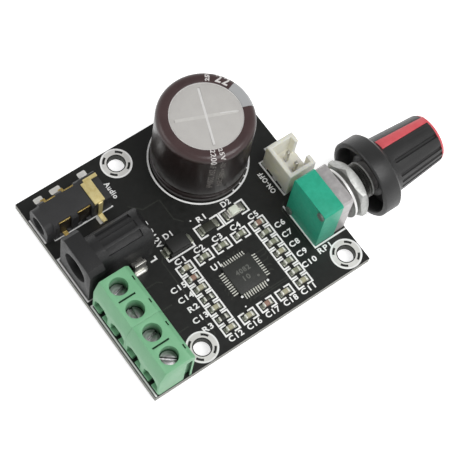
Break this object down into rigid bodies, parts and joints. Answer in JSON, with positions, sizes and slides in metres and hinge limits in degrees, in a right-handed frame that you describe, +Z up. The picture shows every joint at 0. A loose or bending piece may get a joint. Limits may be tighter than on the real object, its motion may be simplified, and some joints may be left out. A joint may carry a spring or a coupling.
{
  "type": "audio amplifier board",
  "caption": "Small audio amplifier circuit board with screw terminals, a power socket, an audio socket, a large storage capacitor and a knob-driven volume control.",
  "frame": {"origin": "midway between the two front mounting holes, on the underside of the board", "axes": "+X along the board towards the knob, +Y towards the storage capacitor, +Z up out of the board"},
  "size_m": [0.0694, 0.044, 0.0198],
  "materials": {
    "board_laminate": "near-black solder mask on glass laminate",
    "can_aluminium": "satin drawn aluminium",
    "sleeve_film": "shrunk brown film",
    "seal_rubber": "black rubber",
    "tinned_metal": "bright tin plate",
    "terminal_plastic": "moulded pale green",
    "screw_steel": "bright zinc plate",
    "socket_plastic": "moulded black",
    "contact_gold": "gold flash",
    "control_plastic": "moulded sea green",
    "cast_metal": "die-cast, unpainted",
    "rotor_plastic": "natural nylon",
    "knob_plastic": "moulded dark grey",
    "pointer_plastic": "moulded red",
    "header_nylon": "natural nylon",
    "chip_moulding": "black epoxy",
    "capacitor_ceramic": "fired tan ceramic",
    "resistor_glaze": "black glaze",
    "lamp_resin": "white resin",
    "lens_resin": "clear resin"
  },
  "bodies": {
    "board": {"circuit_board": "board_laminate", "capacitor_can": "can_aluminium", "capacitor_sleeve": "sleeve_film", "capacitor_seal": "seal_rubber", "capacitor_leads": "tinned_metal", "terminal_housing_1": "terminal_plastic", "terminal_housing_2": "terminal_plastic", "terminal_contacts": "tinned_metal", "power_socket_housing": "socket_plastic", "power_socket_pin": "tinned_metal", "power_socket_spring": "tinned_metal", "power_socket_switch": "tinned_metal", "audio_socket_housing": "socket_plastic", "audio_contact_tip": "contact_gold", "audio_contact_ring": "contact_gold", "audio_contact_clip": "contact_gold", "audio_contact_front": "contact_gold", "audio_contact_rear": "contact_gold", "pot_case": "control_plastic", "pot_track": "resistor_glaze", "pot_bushing": "cast_metal", "pot_terminals": "tinned_metal", "pot_washer": "screw_steel", "pot_nut": "screw_steel", "header_housing": "header_nylon", "header_pins": "tinned_metal", "chip_body": "chip_moulding", "chip_leads": "tinned_metal", "small_capacitors": "capacitor_ceramic", "small_capacitor_ends": "tinned_metal", "small_resistors": "resistor_glaze", "small_resistor_ends": "tinned_metal", "lamp_resistor": "resistor_glaze", "lamp_resistor_ends": "tinned_metal", "lamp_base": "lamp_resin", "lamp_lens": "lens_resin", "lamp_ends": "tinned_metal", "diode_body": "chip_moulding", "diode_leads": "tinned_metal"},
    "knob": {"knob_body": "knob_plastic", "knob_pointer": "pointer_plastic", "pot_shaft": "cast_metal", "pot_rotor": "rotor_plastic"},
    "clamp_1": {"terminal_clamp_1": "tinned_metal"},
    "screw_1": {"terminal_screw_1": "screw_steel"},
    "clamp_2": {"terminal_clamp_2": "tinned_metal"},
    "screw_2": {"terminal_screw_2": "screw_steel"},
    "clamp_3": {"terminal_clamp_3": "tinned_metal"},
    "screw_3": {"terminal_screw_3": "screw_steel"},
    "clamp_4": {"terminal_clamp_4": "tinned_metal"},
    "screw_4": {"terminal_screw_4": "screw_steel"}
  },
  "joints": [
    {"name": "knob_turn", "type": "hinge", "parent": "board", "child": "knob", "pos_m": [0.03, 0.00885, 0.0069], "axis": [1, 0, 0], "range_deg": [-127, 173]},
    {"name": "clamp_1_slide", "type": "slide", "parent": "board", "child": "clamp_1", "axis": [0, 0, 1], "range_m": [-0.0015, 0.0012]},
    {"name": "screw_1_turn", "type": "hinge", "parent": "clamp_1", "child": "screw_1", "pos_m": [-0.0244, -0.0005, 0.009], "axis": [0, 0, 1], "range_deg": [-1080, 864]},
    {"name": "clamp_2_slide", "type": "slide", "parent": "board", "child": "clamp_2", "axis": [0, 0, 1], "range_m": [-0.00045, 0.00225]},
    {"name": "screw_2_turn", "type": "hinge", "parent": "clamp_2", "child": "screw_2", "pos_m": [-0.0244, 0.0045, 0.009], "axis": [0, 0, 1], "range_deg": [-324, 1620]},
    {"name": "clamp_3_slide", "type": "slide", "parent": "board", "child": "clamp_3", "axis": [0, 0, 1], "range_m": [-0.00035, 0.00235]},
    {"name": "screw_3_turn", "type": "hinge", "parent": "clamp_3", "child": "screw_3", "pos_m": [-0.0244, 0.0095, 0.009], "axis": [0, 0, 1], "range_deg": [-252, 1692]},
    {"name": "clamp_4_slide", "type": "slide", "parent": "board", "child": "clamp_4", "axis": [0, 0, 1], "range_m": [-0.0004, 0.0023]},
    {"name": "screw_4_turn", "type": "hinge", "parent": "clamp_4", "child": "screw_4", "pos_m": [-0.0244, 0.0145, 0.009], "axis": [0, 0, 1], "range_deg": [-288, 1656]}
  ],
  "couplings": [
    {"joint": "screw_1_turn", "follows": "clamp_1_slide", "rad_per_m": 12566},
    {"joint": "screw_2_turn", "follows": "clamp_2_slide", "rad_per_m": 12566},
    {"joint": "screw_3_turn", "follows": "clamp_3_slide", "rad_per_m": 12566},
    {"joint": "screw_4_turn", "follows": "clamp_4_slide", "rad_per_m": 12566}
  ]
}
